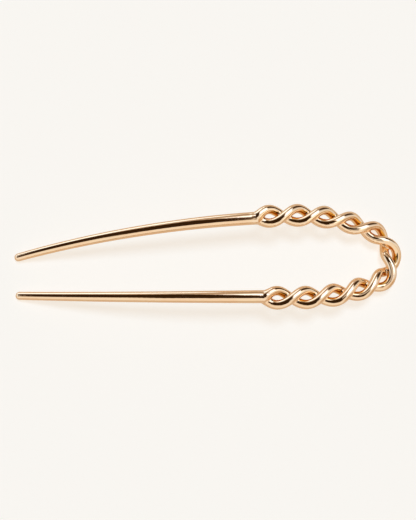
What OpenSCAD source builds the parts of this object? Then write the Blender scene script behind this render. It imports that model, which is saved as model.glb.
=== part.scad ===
// Hair fork in one piece: two tapered prongs, and between them a bend of two twisted strands.
// The fork lies with its bowed side up. +X runs from the prong tips to the bend, +Y across it.

/* [Prongs] */
// Length of each prong, from the twist to the middle of its round tip
prong_l = 69; // [50:1:90]
// Thickness of a prong where it meets the twist
prong_root_d = 3.7; // [3.4:0.1:4.2]
// Thickness of a prong at its tip
prong_tip_d = 2.3; // [1.6:0.1:3]
// Radius of the gentle inward curve of each prong, which starts past the shoulder
prong_curve_r = 700; // [400:50:2000]
// How far a prong's end sits inside the middle line of the twist
prong_inset = 0.35; // [0:0.05:0.5]

/* [Twist] */
// Number of windows on each arm, beside the one at the bend
arm_eyes = 5; // [3:1:6]
// Length of one window along the twist, from crossing to crossing
eye_pitch = 8.5; // [7.5:0.25:10]
// Thickness of each strand
strand_d = 2.7; // [2.5:0.1:3]
// Distance between the two strands across a window
strand_spread = 4; // [3.6:0.1:4.4]
// Distance between the two strands, front to back, where they cross
strand_rise = 2.2; // [1.8:0.1:2.3]

/* [Outline] */
// Radius of the tight bend at the end
bend_r = 7.8; // [7:0.1:11]
// How far the tight bend turns on each side of the middle, in degrees
bend_turn = 67.5; // [62:0.5:72]
// Radius of the slightly rounded shoulder on each arm
shoulder_r = 62.5; // [45:2.5:80]
// Clear gap between the two prong tips
tip_gap = 8.5; // [6:0.5:14]
// Radius of the bow, as if the whole fork were wrapped round a cylinder
bow_r = 155; // [110:5:400]

/* [Hidden] */

// Colour of the metal
gold = [0.86, 0.62, 0.42];

// Steps along one window, and sides round a strand and round a prong
eye_steps = 10;
strand_sides = 14;
prong_sides = 20;
// Steps along a prong, rings that round off each of its ends, and how far round the last one is
prong_steps = 16;
cap_rings = 4;
cap_turn = 82;
// How far a prong's thick end is rounded into the twist
root_round = 1;
// Balls that blend a prong's end into each strand, their sides, and how deep in the prong they start
root_balls = 4;
root_sides = 16;
root_depth = 2.4;
// Size of the first and last ball against the prong and the strand that they are sunk in
root_sunk = 0.96;
// How flat the twist has become where it meets a prong
root_flat = 0.6;

// Half the length of the twist, from the middle of the bend to a prong
twist_l = (arm_eyes + 0.5) * eye_pitch;
strand_r = strand_d / 2;
root_r = prong_root_d / 2;
tip_r = prong_tip_d / 2;

// Each shoulder turns on until the arms head inward just enough to bring the tips to their gap
bend_l = bend_r * bend_turn * PI / 180;
shoulder_v = bend_r * sin(bend_turn) + shoulder_r * (1 - sin(bend_turn));
tip_v = (tip_gap + prong_tip_d) / 2 + prong_inset;
back_l = twist_l + prong_l - bend_l - shoulder_r * (90 - bend_turn) * PI / 180;
toe_in = ((shoulder_v - tip_v) / back_l - back_l / (2 * prong_curve_r)) * 180 / PI;
shoulder_l = shoulder_r * (90 + toe_in - bend_turn) * PI / 180;

// The outline is laid out flat first: [distance from the bend, distance from the middle, heading].
// It starts at the middle of the bend, heading straight across, and turns back along the fork.
function along(start, radius, l) =
    let (turn = l / radius * 180 / PI, h = start[2] + turn)
    [start[0] + radius * (cos(h) - cos(start[2])),
     start[1] + radius * (sin(h) - sin(start[2])), h];
bend_end = along([0, 0, 0], bend_r, bend_l);
shoulder_end = along(bend_end, shoulder_r, shoulder_l);
function flat(s) =
    s < bend_l ? along([0, 0, 0], bend_r, s)
    : s < bend_l + shoulder_l ? along(bend_end, shoulder_r, s - bend_l)
    : along(shoulder_end, prong_curve_r, s - bend_l - shoulder_l);

// The flat outline is then wrapped round the bow. Its crest is placed so that the prong tips
// and the back of the bend reach down to the same level.
fork_l = -flat(twist_l + prong_l)[0];
bend_depth = strand_rise / 2 + strand_r;
crest = -fork_l / 2 + (bend_depth - tip_r) * bow_r / fork_l;
function slope(u) = (u - crest) / bow_r * 180 / PI;
tip_slope = slope(-fork_l);
bend_slope = slope(0);
lift = bow_r * (1 - cos(tip_slope)) + tip_r;
x_low = bow_r * sin(tip_slope) - tip_r;
x_high = bow_r * sin(bend_slope) + strand_spread / 2 * cos(bend_slope) + strand_r;
x_mid = (x_low + x_high) / 2;

function wrap(u, v) =
    [bow_r * sin(slope(u)) - x_mid, v, bow_r * (cos(slope(u)) - 1) + lift];
function up(u) = [sin(slope(u)), 0, cos(slope(u))];
function tangent(u, v) =
    [cos(slope(u)) * v[0], v[1], -sin(slope(u)) * v[0]];

// Middle line of the twist at a signed distance s from the middle of the bend:
// [point, direction, sideways, up], with the +Y arm at positive s
function line(s, inset = 0) =
    let (side = s < 0 ? -1 : 1,
         f = flat(abs(s)),
         t = tangent(f[0], [-side * sin(f[2]), cos(f[2])]),
         n = up(f[0]))
    [wrap(f[0], side * (f[1] - inset)), t, cross(n, t), n];

// Middle line of one strand. The two strands are half a turn apart.
function strand_at(s, side) =
    let (m = line(s),
         turn = -180 * s / eye_pitch,
         near_root = min(1, (twist_l - abs(s)) / (eye_pitch / 2)),
         rise = strand_rise / 2 * (root_flat + (1 - root_flat) * near_root))
    m[0] + side * (strand_spread / 2 * cos(turn) * m[2] + rise * sin(turn) * m[3]);

// A ring of points square to a path
function ring(centre, direction, n, r, sides) =
    let (across = cross(n, direction) / norm(cross(n, direction)),
         top = cross(direction, across))
    [for (i = [0 : sides - 1])
        centre + r * (cos(i * 360 / sides) * across + sin(i * 360 / sides) * top)];

// A solid from rings of points, with flat ends
module sweep(rings) {
    sides = len(rings[0]);
    last = len(rings) - 1;
    walls = [for (j = [0 : last - 1], i = [0 : sides - 1])
        [j * sides + i, (j + 1) * sides + i,
         (j + 1) * sides + (i + 1) % sides, j * sides + (i + 1) % sides]];
    start = [[for (i = [0 : sides - 1]) i]];
    end = [[for (i = [0 : sides - 1]) last * sides + sides - 1 - i]];
    polyhedron([for (r = rings) each r], concat(walls, start, end), convexity = 8);
}

// One strand, from root to root
module strand(side) {
    steps = (2 * arm_eyes + 1) * eye_steps;
    path = [for (i = [0 : steps]) strand_at(-twist_l + 2 * twist_l * i / steps, side)];
    sweep([for (i = [0 : steps])
        let (direction = path[min(i + 1, steps)] - path[max(i - 1, 0)],
             n = line(-twist_l + 2 * twist_l * i / steps)[3])
        ring(path[i], direction / norm(direction), n, strand_r, strand_sides)]);
}

// Rings that round off the end of a bar of radius r, reaching the length depth past its last ring,
// or back from its first one where depth is negative
function cap(centre, direction, n, r, depth) =
    [for (i = [1 : cap_rings])
        let (a = cap_turn * i / cap_rings)
        ring(centre + depth * sin(a) * direction, direction, n, r * cos(a), prong_sides)];

// One prong on the side given, from inside its root to its round tip
module prong(side) {
    shaft = [for (i = [0 : prong_steps])
        let (m = line(side * (twist_l + prong_l * i / prong_steps), prong_inset),
             r = root_r + (tip_r - root_r) * i / prong_steps)
        ring(m[0], side * m[1], m[3], r, prong_sides)];
    first = line(side * twist_l, prong_inset);
    last = line(side * (twist_l + prong_l), prong_inset);
    inner = cap(first[0], side * first[1], first[3], root_r, -root_round);
    outer = cap(last[0], side * last[1], last[3], tip_r, tip_r);
    sweep(concat([for (i = [cap_rings - 1 : -1 : 0]) inner[i]], shaft, outer));
}

// Ball number i on the way from the prong's middle line to a strand's own
module root_ball(side, strand_side, i) {
    part = i / (root_balls - 1);
    s = twist_l + root_depth * (1 - 2 * part);
    on_prong = line(side * max(s, twist_l), prong_inset)[0];
    on_strand = strand_at(side * min(s, twist_l), strand_side);
    translate(on_prong + (on_strand - on_prong) * part)
        sphere(root_sunk * (root_r + (strand_r - root_r) * part), $fn = root_sides);
}

// The end of a prong, drawn out into the starts of both strands
module root(side) {
    for (strand_side = [-1, 1], i = [0 : root_balls - 2])
        hull() {
            root_ball(side, strand_side, i);
            root_ball(side, strand_side, i + 1);
        }
}

module fork() {
    color(gold)
        union() {
            for (side = [-1, 1]) {
                strand(side);
                prong(side);
                root(side);
            }
        }
}

fork();
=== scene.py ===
"""A polished one-piece hair fork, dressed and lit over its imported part."""

import logging
import math
from dataclasses import dataclass, field
from enum import Enum

import bpy
from mathutils import Euler, Matrix, Vector
from mathutils.kdtree import KDTree


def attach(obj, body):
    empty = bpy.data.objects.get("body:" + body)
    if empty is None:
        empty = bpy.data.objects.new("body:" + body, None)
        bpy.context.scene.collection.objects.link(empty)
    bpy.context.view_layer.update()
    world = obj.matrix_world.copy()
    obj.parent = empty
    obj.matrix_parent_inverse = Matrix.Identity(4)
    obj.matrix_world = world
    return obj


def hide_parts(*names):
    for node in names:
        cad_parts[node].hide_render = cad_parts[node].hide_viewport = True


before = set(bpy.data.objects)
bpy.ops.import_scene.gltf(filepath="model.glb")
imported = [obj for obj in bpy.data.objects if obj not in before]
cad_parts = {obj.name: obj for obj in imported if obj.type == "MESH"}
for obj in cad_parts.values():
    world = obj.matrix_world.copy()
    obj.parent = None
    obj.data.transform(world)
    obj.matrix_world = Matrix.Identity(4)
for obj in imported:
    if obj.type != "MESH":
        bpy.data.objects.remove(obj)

LOG = logging.getLogger("hair_fork")
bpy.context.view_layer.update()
# Watts for each square metre that make an area light as bright as a panel whose light is 1
AREA_LIGHT_WATTS = 4

Colour = tuple[float, float, float]


class Side(Enum):
    """The two arms of the fork, as the sign of their Y."""

    LOWER = -1
    UPPER = 1


@dataclass(frozen=True)
class Station:
    """One place along a bar: where its middle is, and its radius there."""

    place: Vector
    radius: float


@dataclass(frozen=True)
class ForkLines:
    """The fork's sizes in metres, and the middle lines that they give.

    The outline is laid out flat, from the middle of the bend back along each arm, and is
    then wrapped round the bow.
    """

    prong_length: float = 0.069
    prong_root_radius: float = 0.00185
    prong_tip_radius: float = 0.00115
    prong_curve_radius: float = 0.700
    prong_inset: float = 0.00035
    arm_eyes: int = 5
    eye_pitch: float = 0.0085
    strand_radius: float = 0.00135
    strand_spread: float = 0.004
    strand_rise: float = 0.0022
    root_flat: float = 0.6
    bend_radius: float = 0.0078
    bend_turn: float = math.radians(67.5)
    shoulder_radius: float = 0.0625
    tip_gap: float = 0.0085
    bow_radius: float = 0.155

    @property
    def twist_length(self) -> float:
        """Half the length of the twist, from the middle of the bend to a prong."""
        return (self.arm_eyes + 0.5) * self.eye_pitch

    @property
    def bend_length(self) -> float:
        """Length of the tight bend on one side."""
        return self.bend_radius * self.bend_turn

    @property
    def shoulder_length(self) -> float:
        """Length of one shoulder, which turns until the arm heads for its tip."""
        square = math.pi / 2 - self.bend_turn
        shoulder_v = self.bend_radius * math.sin(self.bend_turn)
        shoulder_v += self.shoulder_radius * (1 - math.sin(self.bend_turn))
        tip_v = self.tip_gap / 2 + self.prong_tip_radius + self.prong_inset
        back = self.twist_length + self.prong_length - self.bend_length
        back -= self.shoulder_radius * square
        toe_in = (shoulder_v - tip_v) / back - back / (2 * self.prong_curve_radius)
        return self.shoulder_radius * (square + toe_in)

    @staticmethod
    def along(start: Vector, radius: float, length: float) -> Vector:
        """Follows an arc.

        Args:
            start: distance from the bend, distance from the middle, and heading.
            radius: the arc's radius.
            length: how far to go along it.

        Returns:
            The same three values at the arc's end.
        """
        heading = start.z + length / radius
        return Vector((
            start.x + radius * (math.cos(heading) - math.cos(start.z)),
            start.y + radius * (math.sin(heading) - math.sin(start.z)),
            heading,
        ))

    def flat(self, distance: float) -> Vector:
        """The flat outline of one arm at a distance along it from the middle of the bend."""
        if distance < self.bend_length:
            return self.along(Vector(), self.bend_radius, distance)
        bend_end = self.along(Vector(), self.bend_radius, self.bend_length)
        distance -= self.bend_length
        if distance < self.shoulder_length:
            return self.along(bend_end, self.shoulder_radius, distance)
        shoulder_end = self.along(bend_end, self.shoulder_radius, self.shoulder_length)
        return self.along(shoulder_end, self.prong_curve_radius, distance - self.shoulder_length)

    @property
    def flat_length(self) -> float:
        """Length of the flat outline, from the bend to the middle of a prong tip."""
        return -self.flat(self.twist_length + self.prong_length).x

    def slope(self, u: float) -> float:
        """Slope of the bow at a flat distance from the bend, from its crest."""
        bend_depth = self.strand_rise / 2 + self.strand_radius
        length = self.flat_length
        crest = -length / 2 + (bend_depth - self.prong_tip_radius) * self.bow_radius / length
        return (u - crest) / self.bow_radius

    @property
    def bow_axis(self) -> Vector:
        """Where the axis of the bow crosses the fork's middle plane."""
        tip, bend = self.slope(-self.flat_length), self.slope(0)
        low = self.bow_radius * math.sin(tip) - self.prong_tip_radius
        high = self.bow_radius * math.sin(bend) + self.strand_radius
        high += self.strand_spread / 2 * math.cos(bend)
        drop = self.prong_tip_radius - self.bow_radius * math.cos(tip)
        return Vector((-(low + high) / 2, 0, drop))

    def wrap(self, u: float, v: float) -> Vector:
        """Takes a point of the flat outline to its place on the bow."""
        angle = self.slope(u)
        out = Vector((math.sin(angle), 0, math.cos(angle)))
        return self.bow_axis + self.bow_radius * out + Vector((0, v, 0))

    def line(self, distance: float, inset: float = 0.0) -> tuple[Vector, Vector, Vector, Vector]:
        """The middle line at a signed distance from the middle of the bend.

        Args:
            distance: signed distance, positive on the +Y arm.
            inset: how far inside the outline the line runs.

        Returns:
            Its point, its direction, sideways, and up out of the bowed side.
        """
        side = -1 if distance < 0 else 1
        at = self.flat(abs(distance))
        angle = self.slope(at.x)
        back, across = -side * math.sin(at.z), math.cos(at.z)
        direction = Vector((math.cos(angle) * back, across, -math.sin(angle) * back))
        up = Vector((math.sin(angle), 0, math.cos(angle)))
        return self.wrap(at.x, side * (at.y - inset)), direction, up.cross(direction), up

    def strand(self, distance: float, side: Side) -> Vector:
        """The middle of one strand of the twist at a signed distance from the bend."""
        point, _, sideways, up = self.line(distance)
        turn = -math.pi * distance / self.eye_pitch
        near_root = min(1.0, (self.twist_length - abs(distance)) / (self.eye_pitch / 2))
        rise = self.strand_rise / 2 * (self.root_flat + (1 - self.root_flat) * near_root)
        spread = self.strand_spread / 2
        away = spread * math.cos(turn) * sideways + rise * math.sin(turn) * up
        return point + side.value * away


class Maker:
    """Steps of modelling that every part of the fork uses."""

    @staticmethod
    def alone(piece: bpy.types.Object) -> None:
        """Selects one object and nothing else."""
        bpy.ops.object.select_all(action="DESELECT")
        piece.select_set(True)
        bpy.context.view_layer.objects.active = piece

    @staticmethod
    def bar(name: str, stations: list[Station], roundness: int) -> bpy.types.Object:
        """Draws a round bar along a path, and makes it a mesh.

        Args:
            name: the bar's name.
            stations: the places and radii along it.
            roundness: how finely its section is divided.

        Returns:
            The bar, a closed mesh at the origin.
        """
        bpy.ops.object.select_all(action="DESELECT")
        bpy.ops.curve.primitive_nurbs_path_add(location=(0, 0, 0))
        path = bpy.context.object
        path.name = name
        thickest = max(station.radius for station in stations)
        path.data.splines.clear()
        spline = path.data.splines.new("POLY")
        spline.points.add(len(stations) - 1)
        for point, station in zip(spline.points, stations):
            point.co = (*station.place, 1)
            point.radius = station.radius / thickest
        path.data.dimensions = "3D"
        path.data.bevel_depth = thickest
        path.data.bevel_resolution = roundness
        path.data.use_fill_caps = True
        Maker.alone(path)
        bpy.ops.object.convert(target="MESH")
        return bpy.context.object

    @staticmethod
    def finish(piece: bpy.types.Object, kind: str, **settings: object) -> None:
        """Adds a modifier with its settings, and applies it."""
        Maker.alone(piece)
        modifier = piece.modifiers.new(kind.lower(), kind)
        for key, value in settings.items():
            setattr(modifier, key, value)
        bpy.ops.object.modifier_apply(modifier=modifier.name)


@dataclass
class TwistedBend:
    """The two strands that twist round one another from one prong to the other."""

    lines: ForkLines
    steps_per_eye: int = 40
    roundness: int = 16

    def build(self) -> list[bpy.types.Object]:
        """Makes both strands."""
        length = self.lines.twist_length
        steps = (2 * self.lines.arm_eyes + 1) * self.steps_per_eye
        bars = []
        for side in Side:
            stations = [
                Station(
                    self.lines.strand(-length + 2 * length * step / steps, side),
                    self.lines.strand_radius,
                )
                for step in range(steps + 1)
            ]
            bars.append(Maker.bar(f"strand_{side.name.lower()}", stations, self.roundness))
        return bars


@dataclass
class Prong:
    """One tapered prong, with its round tip and the root that divides into the strands."""

    lines: ForkLines
    side: Side
    steps: int = 60
    cap_steps: int = 8
    cap_turn: float = math.radians(88)
    root_round: float = 0.001
    root_depth: float = 0.0024
    root_steps: int = 12
    roundness: int = 16

    def cap(self, at_root: bool) -> list[Station]:
        """The stations that round off one end of the prong, from its shaft outwards."""
        lines = self.lines
        distance = lines.twist_length + (0 if at_root else lines.prong_length)
        point, direction, _, _ = lines.line(self.side.value * distance, lines.prong_inset)
        radius = lines.prong_root_radius if at_root else lines.prong_tip_radius
        reach = (-self.root_round if at_root else radius) * self.side.value
        stations = []
        for step in range(1, self.cap_steps + 1):
            turn = self.cap_turn * step / self.cap_steps
            place = point + reach * math.sin(turn) * direction
            stations.append(Station(place, radius * math.cos(turn)))
        return stations

    def shaft(self) -> list[Station]:
        """The stations of the tapered shaft, from the root to the tip."""
        lines = self.lines
        stations = []
        for step in range(self.steps + 1):
            part = step / self.steps
            distance = self.side.value * (lines.twist_length + lines.prong_length * part)
            radius = lines.prong_root_radius
            radius += (lines.prong_tip_radius - radius) * part
            stations.append(Station(lines.line(distance, lines.prong_inset)[0], radius))
        return stations

    def root(self, strand: Side) -> list[Station]:
        """The stations that draw the prong's end out into one strand."""
        lines = self.lines
        stations = []
        for step in range(self.root_steps + 1):
            part = step / self.root_steps
            distance = lines.twist_length + self.root_depth * (1 - 2 * part)
            outer = self.side.value * max(distance, lines.twist_length)
            inner = self.side.value * min(distance, lines.twist_length)
            on_prong = lines.line(outer, lines.prong_inset)[0]
            place = on_prong.lerp(lines.strand(inner, strand), part)
            radius = lines.prong_root_radius
            radius += (lines.strand_radius - radius) * part
            stations.append(Station(place, radius))
        return stations

    def build(self) -> list[bpy.types.Object]:
        """Makes the prong and the two bars of its root."""
        name = f"prong_{self.side.name.lower()}"
        shaft = self.cap(True)[::-1] + self.shaft() + self.cap(False)
        bars = [Maker.bar(name, shaft, self.roundness)]
        for strand in Side:
            root_name = f"root_{self.side.name.lower()}_{strand.name.lower()}"
            bars.append(Maker.bar(root_name, self.root(strand), self.roundness))
        return bars


@dataclass
class HairFork:
    """The whole fork: its bars fused into one smooth casting.

    The reaches are in metres. Each range is a pair of values between which a mask goes from 0 to 1.
    """

    lines: ForkLines = field(default_factory=ForkLines)
    grain: float = 0.00022
    smoothing: float = 0.5
    first_smoothing: int = 8
    last_smoothing: int = 2
    # nook_reach, wedge_reach and open_nook set how far the painted shade between the strands
    # reaches, and how much deeper it is in the wedges.
    nook_reach: float = 0.004
    wedge_reach: float = 0.0009
    rub_reach: float = 0.0042
    tip_rub: float = 0.006
    facing_range: tuple[float, float] = (0.35, 0.65)
    lean_range: tuple[float, float] = (0.05, 0.30)
    open_nook: float = 0.6
    line_steps: int = 600

    def build(self) -> bpy.types.Object:
        """Makes the fork's bars and fuses them into one closed mesh."""
        bars = TwistedBend(self.lines).build()
        for side in Side:
            bars += Prong(self.lines, side).build()
        bpy.ops.object.select_all(action="DESELECT")
        for bar in bars:
            bar.select_set(True)
        bpy.context.view_layer.objects.active = bars[0]
        bpy.ops.object.join()
        fork = bpy.context.object
        fork.name = fork.data.name = "cast_fork"
        bpy.ops.object.duplicate()
        true_bars = bpy.context.object
        Maker.finish(fork, "REMESH", mode="VOXEL", voxel_size=self.grain)
        Maker.finish(fork, "SMOOTH", factor=self.smoothing, iterations=self.first_smoothing)
        Maker.finish(fork, "SHRINKWRAP", target=true_bars, wrap_method="NEAREST_SURFACEPOINT")
        Maker.finish(fork, "SMOOTH", factor=self.smoothing, iterations=self.last_smoothing)
        Maker.alone(true_bars)
        bpy.ops.object.delete()
        Maker.alone(fork)
        bpy.ops.object.shade_smooth()
        self.mark_shade_and_wear(fork)
        return fork

    @staticmethod
    def smooth_step(value: float, low: float, high: float) -> float:
        """Takes a value to 0 at or below the low one, to 1 at or above the high one, and between."""
        part = min(1.0, max(0.0, (value - low) / (high - low)))
        return part * part * (3 - 2 * part)

    def strand_trees(self) -> list[KDTree]:
        """Makes a tree of each strand's middle line, to find the nearest point of it."""
        lines = self.lines
        trees = []
        for side in Side:
            tree = KDTree(self.line_steps + 1)
            for number in range(self.line_steps + 1):
                distance = lines.twist_length * (2 * number / self.line_steps - 1)
                tree.insert(lines.strand(distance, side), number)
            tree.balance()
            trees.append(tree)
        return trees

    def mark_shade_and_wear(self, fork: bpy.types.Object) -> None:
        """Marks each vertex of the fork for its finish.

        The first attribute says how shut in between the strands a vertex is, which sets where shade
        is painted, and rub says how much it is rubbed in use.

        Args:
            fork: the fused fork, unturned and at the origin.
        """
        lines = self.lines
        trees = self.strand_trees()
        whole = lines.twist_length + lines.prong_length
        tips = [lines.line(side.value * whole, lines.prong_inset)[0] for side in Side]
        axis = lines.bow_axis
        shade_nook = fork.data.attributes.new("shade_nook", "FLOAT", "POINT")
        rub = fork.data.attributes.new("rub", "FLOAT", "POINT")
        for vertex in fork.data.vertices:
            found = [tree.find(vertex.co) for tree in trees]
            other, _, distance = max(found, key=lambda hit: hit[2])
            facing = vertex.normal.dot((other - vertex.co).normalized())
            gap = distance - lines.strand_radius
            out = vertex.co - axis
            out.y = 0
            lean = abs(vertex.normal.dot(out.normalized()))
            # How much shade to paint here: on faces turned towards the other strand and close to it,
            # most in the tight wedge where the strands meet.
            shut_in = self.smooth_step(facing, *self.facing_range)
            shut_in *= self.smooth_step(lean, *self.lean_range)
            shut_in *= self.smooth_step(-gap, -self.nook_reach, -self.nook_reach / 2)
            close = self.smooth_step(-gap, -self.wedge_reach, 0)
            depth = self.open_nook + (1 - self.open_nook) * close
            shade_nook.data[vertex.index].value = shut_in * depth
            proud = max(0.0, -facing) ** 2 if gap < self.rub_reach else 0.0
            from_tip = min((vertex.co - tip).length for tip in tips)
            rub.data[vertex.index].value = max(proud, 1 - from_tip / self.tip_rub, 0.0)

    def dress(self, fork: bpy.types.Object, finish: "PolishedGold") -> None:
        """Gives the fork its finish and ties it to the part.

        Args:
            fork: the fused fork.
            finish: the metal's finish.
        """
        fork.data.materials.clear()
        fork.data.materials.append(finish.build())
        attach(fork, "root")
        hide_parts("fork")


class Nodes:
    """Short ways to add nodes to one node tree."""

    def __init__(self, tree: bpy.types.NodeTree) -> None:
        """Takes the tree that the nodes go into."""
        self.tree = tree

    def fill(self, node: bpy.types.Node, inputs: dict) -> None:
        """Fills a node's input sockets.

        Args:
            node: the node.
            inputs: what goes into its sockets, by name or number: a socket to link, or a value.
        """
        for key, value in inputs.items():
            if isinstance(value, bpy.types.NodeSocket):
                self.tree.links.new(value, node.inputs[key])
            else:
                node.inputs[key].default_value = value

    def add(self, kind: str, inputs: dict | None = None, **settings: object) -> bpy.types.Node:
        """Adds a node.

        Args:
            kind: the node's type, without the leading ShaderNode.
            inputs: what goes into its sockets, as fill takes it.
            settings: the node's own settings.

        Returns:
            The node.
        """
        node = self.tree.nodes.new("ShaderNode" + kind)
        for key, value in settings.items():
            setattr(node, key, value)
        self.fill(node, inputs or {})
        return node

    def math(self, operation: str, *values: object, clamp: bool = False) -> bpy.types.NodeSocket:
        """Adds a sum on numbers and gives its result."""
        node = self.add("Math", dict(enumerate(values)), operation=operation, use_clamp=clamp)
        return node.outputs[0]

    def vector(self, operation: str, *values: object) -> bpy.types.NodeSocket:
        """Adds a sum on vectors and gives its result."""
        node = self.add("VectorMath", dict(enumerate(values)), operation=operation)
        return node.outputs["Value" if operation in ("DOT_PRODUCT", "LENGTH") else "Vector"]

    def blend(self, part: object, below: object, above: object) -> bpy.types.NodeSocket:
        """Mixes two colours and gives the result."""
        inputs = {"Factor": part, 6: below, 7: above}
        return self.add("Mix", inputs, data_type="RGBA").outputs[2]

    def noise(self, place: object, scale: object, detail: float) -> bpy.types.NodeSocket:
        """Adds soft noise and gives its value."""
        inputs = {"Vector": place, "Scale": scale, "Detail": detail}
        return self.add("TexNoise", inputs).outputs["Fac"]

    def ramp(self, value: object, low: object, high: object) -> bpy.types.NodeSocket:
        """Adds a smooth step from 0 at the low value to 1 at the high one, and gives its result."""
        inputs = {"Value": value, "From Min": low, "From Max": high}
        return self.add("MapRange", inputs, interpolation_type="SMOOTHSTEP").outputs[0]

    def group(self, group: bpy.types.NodeTree, inputs: dict) -> bpy.types.Node:
        """Adds a node group with its inputs by name."""
        node = self.add("Group")
        node.node_tree = group
        self.fill(node, inputs)
        return node

    @staticmethod
    def new_group(
        name: str, inputs: dict[str, str], outputs: dict[str, str]
    ) -> tuple["Nodes", bpy.types.Node, bpy.types.Node]:
        """Starts a node group.

        Args:
            name: the group's name.
            inputs: the kind of each input socket, by name.
            outputs: the kind of each output socket, by name.

        Returns:
            The group's nodes, its input node and its output node.
        """
        tree = bpy.data.node_groups.new(name, "ShaderNodeTree")
        for way, sockets in (("INPUT", inputs), ("OUTPUT", outputs)):
            for socket, kind in sockets.items():
                socket_type = "NodeSocket" + kind
                tree.interface.new_socket(socket, in_out=way, socket_type=socket_type)
        into, out = tree.nodes.new("NodeGroupInput"), tree.nodes.new("NodeGroupOutput")
        return Nodes(tree), into, out


@dataclass(frozen=True)
class WearGroups:
    """Node groups for what a polished metal picks up from its making and its use.

    Each range is a pair of noise values between which a mask goes from 0 to 1.
    """

    cloud_detail: float = 3.0
    cloud_range: tuple[float, float] = (0.38, 0.62)
    patches_per_metre: float = 260.0
    patch_detail: float = 2.0
    patch_range: tuple[float, float] = (0.42, 0.66)
    spots_per_metre: float = 900.0
    spot_detail: float = 4.0
    spot_range: tuple[float, float] = (0.55, 1.0)

    def tone_drift(self) -> bpy.types.NodeTree:
        """Makes the group that lets a colour drift between two tones in soft clouds."""
        inputs = {"Place": "Vector", "Tone": "Color", "Other Tone": "Color",
                  "Clouds per Metre": "Float", "Amount": "Float"}
        nodes, into, out = Nodes.new_group("tone_drift", inputs, {"Tone": "Color"})
        scale = into.outputs["Clouds per Metre"]
        clouds = nodes.noise(into.outputs["Place"], scale, self.cloud_detail)
        part = nodes.ramp(clouds, *self.cloud_range)
        part = nodes.math("MULTIPLY", part, into.outputs["Amount"])
        tone = nodes.blend(part, into.outputs["Tone"], into.outputs["Other Tone"])
        nodes.tree.links.new(tone, out.inputs["Tone"])
        return nodes.tree

    def hairlines(self) -> bpy.types.NodeTree:
        """Makes the group that draws fine polishing lines, all running one way."""
        inputs = {"Place": "Vector", "Turn": "Vector", "Lines per Metre": "Float",
                  "Length": "Float", "Width": "Float"}
        nodes, into, out = Nodes.new_group("hairlines", inputs, {"Lines": "Float"})
        turned = {"Vector": into.outputs["Place"], "Rotation": into.outputs["Turn"]}
        place = nodes.add("VectorRotate", turned, rotation_type="EULER_XYZ").outputs[0]
        short = nodes.math("DIVIDE", 1.0, into.outputs["Length"])
        stretch = nodes.add("CombineXYZ", {"X": short, "Y": 1.0, "Z": 1.0}).outputs[0]
        place = nodes.vector("MULTIPLY", place, stretch)
        ridge = nodes.noise(place, into.outputs["Lines per Metre"], 1.0)
        away = nodes.math("ABSOLUTE", nodes.math("SUBTRACT", ridge, 0.5))
        line = nodes.ramp(away, into.outputs["Width"], 0.0)
        patches = nodes.noise(into.outputs["Place"], self.patches_per_metre, self.patch_detail)
        lines = nodes.math("MULTIPLY", line, nodes.ramp(patches, *self.patch_range))
        nodes.tree.links.new(lines, out.inputs["Lines"])
        return nodes.tree

    def rubbed(self) -> bpy.types.NodeTree:
        """Makes the group that breaks up an even mask of wear, as handling does."""
        inputs = {"Place": "Vector", "Wear": "Float", "Amount": "Float"}
        nodes, into, out = Nodes.new_group("rubbed", inputs, {"Rub": "Float"})
        spots = nodes.noise(into.outputs["Place"], self.spots_per_metre, self.spot_detail)
        ragged = nodes.math("ADD", into.outputs["Wear"], nodes.math("SUBTRACT", spots, 0.5))
        rub = nodes.ramp(ragged, *self.spot_range)
        rub = nodes.math("MULTIPLY", rub, into.outputs["Amount"])
        nodes.tree.links.new(rub, out.inputs["Rub"])
        return nodes.tree


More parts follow.
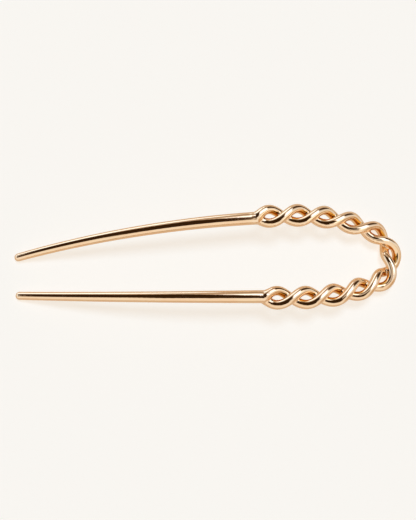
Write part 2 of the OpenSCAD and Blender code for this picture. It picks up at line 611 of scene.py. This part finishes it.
@dataclass(frozen=True)
class PolishedGold:
    """Warm gold-coloured metal, mirror polished by hand, with shade painted orange and dark between
    the strands.
    """

    name: str = "polished_gold"
    groups: WearGroups = WearGroups()
    colour: Colour = (0.95, 0.70, 0.45)
    rosy_colour: Colour = (0.94, 0.64, 0.40)
    rosy_share: float = 0.7
    # Painted shade between the strands: orange where light would bounce between them, then dark
    # brown in the tightest wedges.
    painted_shade_colour: Colour = (0.74, 0.35, 0.05)
    painted_shade_range: tuple[float, float] = (0.1, 0.55)
    painted_dark_shade_colour: Colour = (0.22, 0.08, 0.012)
    painted_dark_shade_range: tuple[float, float] = (0.65, 0.95)
    rubbed_colour: Colour = (0.97, 0.76, 0.54)
    rubbed_share: float = 0.6
    roughness: float = 0.04
    smudged: float = 0.03
    scratched: float = 0.10
    worn: float = 0.05
    clouds_per_metre: float = 130.0
    smudges_per_metre: float = 260.0
    smudge_detail: float = 4.0
    smudge_range: tuple[float, float] = (0.45, 0.7)
    waves_per_metre: float = 420.0
    wave_height: float = 0.000016
    lines_per_metre: float = 9000.0
    line_length: float = 24.0
    line_width: float = 0.02
    line_depth: float = 0.0000004
    line_turns: tuple[tuple[float, float, float], ...] = (
        (0.2, 0.1, 0.3), (0.9, 0.4, 1.2), (-0.6, 0.8, 2.3),
    )

    def tone(self, nodes: Nodes, place: bpy.types.NodeSocket, rub: object) -> object:
        """Makes the metal's colour, with painted shade between the strands.

        Args:
            nodes: the material's nodes.
            place: the place on the piece.
            rub: how rubbed the surface is there.

        Returns:
            The colour.
        """
        drift = {
            "Place": place, "Tone": (*self.colour, 1), "Other Tone": (*self.rosy_colour, 1),
            "Clouds per Metre": self.clouds_per_metre, "Amount": self.rosy_share,
        }
        tone = nodes.group(self.groups.tone_drift(), drift).outputs["Tone"]
        tone = nodes.blend(rub, tone, (*self.rubbed_colour, 1))
        # Painted shade from the shut-in mask: orange, and dark brown where the strands close in
        # most.
        shade_nook = nodes.add("Attribute", attribute_name="shade_nook").outputs["Fac"]
        tone = nodes.blend(nodes.ramp(shade_nook, *self.painted_shade_range), tone, (*self.painted_shade_colour, 1))
        return nodes.blend(nodes.ramp(shade_nook, *self.painted_dark_shade_range), tone, (*self.painted_dark_shade_colour, 1))

    def scratches(self, nodes: Nodes, place: bpy.types.NodeSocket) -> object:
        """Makes the mask of fine polishing lines, which run in a few directions.

        Args:
            nodes: the material's nodes.
            place: the place on the piece.

        Returns:
            The mask, which is 1 in the middle of a line.
        """
        group = self.groups.hairlines()
        masks = []
        for turn in self.line_turns:
            inputs = {"Place": place, "Turn": turn, "Lines per Metre": self.lines_per_metre,
                      "Length": self.line_length, "Width": self.line_width}
            masks.append(nodes.group(group, inputs).outputs["Lines"])
        lines = masks[0]
        for mask in masks[1:]:
            lines = nodes.math("MAXIMUM", lines, mask)
        return lines

    def build(self) -> bpy.types.Material:
        """Makes the material."""
        material = bpy.data.materials.new(self.name)
        material.use_nodes = True
        nodes = Nodes(material.node_tree)
        shader = material.node_tree.nodes["Principled BSDF"]
        place = nodes.add("TexCoord").outputs["Object"]
        wear = nodes.add("Attribute", attribute_name="rub").outputs["Fac"]
        inputs = {"Place": place, "Wear": wear, "Amount": self.rubbed_share}
        rub = nodes.group(self.groups.rubbed(), inputs).outputs["Rub"]
        lines = self.scratches(nodes, place)
        smudges = nodes.noise(place, self.smudges_per_metre, self.smudge_detail)
        smudges = nodes.ramp(smudges, *self.smudge_range)
        rough = nodes.math("MULTIPLY_ADD", smudges, self.smudged, self.roughness)
        rough = nodes.math("MULTIPLY_ADD", lines, self.scratched, rough)
        rough = nodes.math("MULTIPLY_ADD", rub, self.worn, rough)
        waves = nodes.noise(place, self.waves_per_metre, 1.0)
        depth = self.line_depth / self.wave_height
        height = nodes.math("MULTIPLY_ADD", lines, -depth, waves)
        bump = nodes.add("Bump", {"Height": height, "Distance": self.wave_height})
        links = material.node_tree.links
        links.new(self.tone(nodes, place, rub), shader.inputs["Base Color"])
        links.new(rough, shader.inputs["Roughness"])
        links.new(bump.outputs["Normal"], shader.inputs["Normal"])
        shader.inputs["Metallic"].default_value = 1.0
        return material


@dataclass(frozen=True)
class View:
    """The camera at the photograph's angle.

    The eye is in metres. The angles are in degrees, and turn a camera that looks straight down
    at the fork: it rolls, leans back towards -Y, and swings towards -X.
    """

    eye: tuple[float, float, float] = (-0.03115, -0.05311, 0.25454)
    lean: float = 12.198
    swing: float = -6.755
    roll: float = -4.293
    lens: float = 62.31
    nearest: float = 0.005
    farthest: float = 20

    @property
    def turn(self) -> Matrix:
        """The camera's rotation. Its columns are the camera's right, up and back."""
        angles = [math.radians(angle) for angle in (self.lean, self.swing, self.roll)]
        return Euler(angles, "ZXY").to_matrix()

    def build(self) -> None:
        """Places the camera."""
        data = bpy.data.cameras.new("camera")
        data.lens = self.lens
        data.clip_start = self.nearest
        data.clip_end = self.farthest
        camera = bpy.data.objects.new("camera", data)
        bpy.context.scene.collection.objects.link(camera)
        camera.matrix_world = Matrix.Translation(self.eye) @ self.turn.to_4x4()
        bpy.context.scene.camera = camera


@dataclass(frozen=True)
class Floor:
    """The plain pale floor, which the metal reflects darker and warmer than the camera sees it."""

    radius: float = 4
    sides: int = 96
    grey: float = 0.35
    seen: Colour = (0.848, 0.786, 0.707)
    reflected: Colour = (0.60, 0.46, 0.32)

    def build(self) -> None:
        """Lays the floor."""
        bpy.ops.object.select_all(action="DESELECT")
        bpy.ops.mesh.primitive_circle_add(
            vertices=self.sides, radius=self.radius, fill_type="NGON"
        )
        floor = bpy.context.object
        floor.name = "floor"
        material = bpy.data.materials.new("pale_floor")
        material.use_nodes = True
        nodes = Nodes(material.node_tree)
        shader = material.node_tree.nodes["Principled BSDF"]
        by_camera = nodes.add("LightPath").outputs["Is Camera Ray"]
        glow = nodes.blend(by_camera, (*self.reflected, 1), (*self.seen, 1))
        material.node_tree.links.new(glow, shader.inputs["Emission Color"])
        shader.inputs["Emission Strength"].default_value = 1
        shader.inputs["Base Color"].default_value = (self.grey, self.grey, self.grey, 1)
        shader.inputs["Roughness"].default_value = 1
        shader.inputs["Specular IOR Level"].default_value = 0
        floor.data.materials.append(material)


@dataclass(frozen=True)
class Overhead:
    """The broad even light that lies on the floor and casts its soft shadows.

    Its spread and its lean are in degrees. The metal doesn't reflect it.
    """

    strength: float = 1.594
    spread: float = 20
    lean: float = -12
    colour: Colour = (0.556, 0.778, 1.0)

    def build(self) -> None:
        """Hangs the light."""
        data = bpy.data.lights.new("overhead", "SUN")
        data.energy = self.strength
        data.angle = math.radians(self.spread)
        data.color = self.colour
        light = bpy.data.objects.new("overhead", data)
        bpy.context.scene.collection.objects.link(light)
        light.rotation_euler = (math.radians(self.lean), 0, 0)
        light.visible_glossy = False


@dataclass(frozen=True)
class BendCard:
    """A small soft card close to the bend, which shows only as a reflection in the metal.

    Its centre is given in metres along the camera's right, up and back, from the fork's own
    origin, and its turn is in degrees. It faces away from the camera, and adds its light to
    what is reflected behind it.
    """

    centre: tuple[float, float, float] = (0.0584, 0.01, 0.026)
    width: float = 0.013
    length: float = 0.044
    turn: float = 105
    light: float = 0.45

    def build(self, view: View) -> None:
        """Hangs the card.

        Args:
            view: the camera, whose directions place the card.
        """
        data = bpy.data.lights.new("bend_card", "AREA")
        data.shape = "RECTANGLE"
        data.size = self.width
        data.size_y = self.length
        data.energy = self.light * AREA_LIGHT_WATTS * self.width * self.length
        card = bpy.data.objects.new("bend_card", data)
        bpy.context.scene.collection.objects.link(card)
        place = Matrix.Translation(view.turn @ Vector(self.centre))
        turn = view.turn @ Matrix.Rotation(math.radians(self.turn), 3, "Z")
        card.matrix_world = place @ turn.to_4x4()
        card.visible_camera = False
        card.visible_diffuse = False


@dataclass(frozen=True)
class Panel:
    """A soft-edged panel of the studio, laid out as a mirror ball would show it.

    The ball's middle faces the camera, and its rim is one unit away. The turn is in degrees,
    and light is what the panel gives off, as red, green and blue.
    """

    name: str
    centre: tuple[float, float]
    half: tuple[float, float]
    turn: float
    edge: float
    light: Colour


@dataclass(frozen=True)
class Studio:
    """Pale floor, soft light and the camera.

    The panels are mixed over the plain room in the order of the list. Warmth is the power that
    their red, green and blue are then raised to.
    """

    view: View = View()
    floor: Floor = Floor()
    overhead: Overhead = Overhead()
    card: BendCard = BendCard()
    backdrop: Colour = (0.955, 0.931, 0.897)
    room: Colour = (0.588, 0.556, 0.533)
    warmth: tuple[float, float, float] = (0.9, 1.05, 1.2)
    panels: tuple[Panel, ...] = (
        Panel("side_glow", (0.55, 0.14), (0.30, 0.24), -10, 0.05, (0.835, 0.885, 0.95)),
        Panel("thin_gap", (0.07, 0.63), (0.24, 0.06), -12, 0.03, (0.30, 0.25, 0.21)),
        Panel("far_gap", (0.49, 0.45), (0.24, 0.13), -22, 0.07, (0.04, 0.035, 0.025)),
        Panel("side_box", (0.285, 0.29), (0.12, 0.20), 30, 0.03, (1.57, 1.75, 2.0)),
        Panel("dark_room", (-0.155, -0.098), (0.355, 0.44), 30, 0.03, (0.024, 0.021, 0.014)),
        Panel("tip_gap", (-0.32, 0.30), (0.20, 0.15), 10, 0.05, (0.024, 0.021, 0.014)),
        Panel("root_gap", (0.046, 0.222), (0.10, 0.25), 30, 0.03, (0.024, 0.021, 0.014)),
        Panel("front_card", (0.0, -0.66), (1.2, 0.46), 0, 0.04, (0.967, 0.962, 0.958)),
        Panel("front_rise", (-0.42, -0.32), (0.34, 0.20), 0, 0.05, (0.967, 0.962, 0.958)),
        Panel("front_wing", (0.65, -0.18), (0.43, 0.18), 0, 0.03, (0.945, 0.924, 0.899)),
        Panel("warm_corner", (0.74, -0.34), (0.27, 0.27), 0, 0.12, (0.515, 0.388, 0.262)),
        Panel("left_box", (-0.74, 0.12), (0.34, 0.24), 0, 0.06, (0.89, 1.0, 1.123)),
        Panel("key_box", (-0.33, 0.70), (0.36, 0.19), 27, 0.03, (1.45, 1.66, 1.86)),
    )

    @staticmethod
    def mirror_ball() -> bpy.types.NodeTree:
        """Makes the group that finds where a direction shows on a mirror ball."""
        inputs = {"Direction": "Vector", "Right": "Vector", "Up": "Vector", "Back": "Vector"}
        nodes, into, out = Nodes.new_group("mirror_ball", inputs, {"Place": "Vector"})
        parts = [
            nodes.vector("DOT_PRODUCT", into.outputs["Direction"], into.outputs[axis])
            for axis in ("Right", "Up", "Back")
        ]
        seen = nodes.add("CombineXYZ", dict(enumerate(parts))).outputs[0]
        half_way = nodes.vector("ADD", seen, (0, 0, 1))
        nodes.tree.links.new(nodes.vector("NORMALIZE", half_way), out.inputs["Place"])
        return nodes.tree

    @staticmethod
    def soft_panel() -> bpy.types.NodeTree:
        """Makes the group that masks one soft-edged panel on the mirror ball."""
        inputs = {"Place": "Vector", "Centre": "Vector", "Half Size": "Vector",
                  "Turn": "Float", "Edge": "Float"}
        nodes, into, out = Nodes.new_group("soft_panel", inputs, {"Mask": "Float"})
        away = nodes.vector("SUBTRACT", into.outputs["Place"], into.outputs["Centre"])
        turn = nodes.math("MULTIPLY", into.outputs["Turn"], -1.0)
        inputs = {"Vector": away, "Angle": turn}
        turned = nodes.add("VectorRotate", inputs, rotation_type="Z_AXIS").outputs[0]
        reach = nodes.vector("ABSOLUTE", turned)
        inside = nodes.vector("SUBTRACT", into.outputs["Half Size"], reach)
        sides = nodes.add("SeparateXYZ", {0: inside})
        edge = into.outputs["Edge"]
        outer_edge = nodes.math("MULTIPLY", edge, -1.0)
        masks = [nodes.ramp(sides.outputs[side], outer_edge, edge) for side in "XY"]
        nodes.tree.links.new(nodes.math("MULTIPLY", *masks), out.inputs["Mask"])
        return nodes.tree

    def surroundings(self) -> None:
        """Makes what the metal reflects, and the plain backdrop that the camera sees."""
        world = bpy.data.worlds.new("studio")
        bpy.context.scene.world = world
        world.use_nodes = True
        world.node_tree.nodes.clear()
        nodes = Nodes(world.node_tree)
        direction = nodes.add("TexCoord").outputs["Generated"]
        right, up, back = self.view.turn.col
        axes = {"Direction": direction, "Right": right, "Up": up, "Back": back}
        place = nodes.group(self.mirror_ball(), axes).outputs["Place"]
        mask_group = self.soft_panel()
        light = nodes.add("RGB").outputs[0]
        light.default_value = (*self.room, 1)
        for panel in self.panels:
            inputs = {
                "Place": place,
                "Centre": (*panel.centre, 0),
                "Half Size": (*panel.half, 0),
                "Turn": math.radians(panel.turn),
                "Edge": panel.edge,
            }
            mask = nodes.group(mask_group, inputs).outputs["Mask"]
            light = nodes.blend(mask, light, (*panel.light, 1))
        light = nodes.vector("POWER", light, self.warmth)
        by_camera = nodes.add("LightPath").outputs["Is Camera Ray"]
        light = nodes.blend(by_camera, light, (*self.backdrop, 1))
        glow = nodes.add("Background", {"Color": light}).outputs[0]
        nodes.add("OutputWorld", {"Surface": glow})
        world.cycles_visibility.diffuse = False

    def build(self) -> None:
        """Sets up the camera, the floor, what the metal reflects, and the lights."""
        self.view.build()
        self.floor.build()
        self.surroundings()
        self.overhead.build()
        self.card.build(self.view)
        bpy.context.scene.view_settings.view_transform = "Standard"


def main() -> None:
    """Builds the fork and its studio."""
    logging.basicConfig(level=logging.INFO, format="%(name)s: %(message)s")
    fork_maker = HairFork()
    fork = fork_maker.build()
    fork_maker.dress(fork, PolishedGold())
    LOG.info("%s: %d faces", fork.name, len(fork.data.polygons))
    Studio().build()


if __name__ == "__main__":
    main()
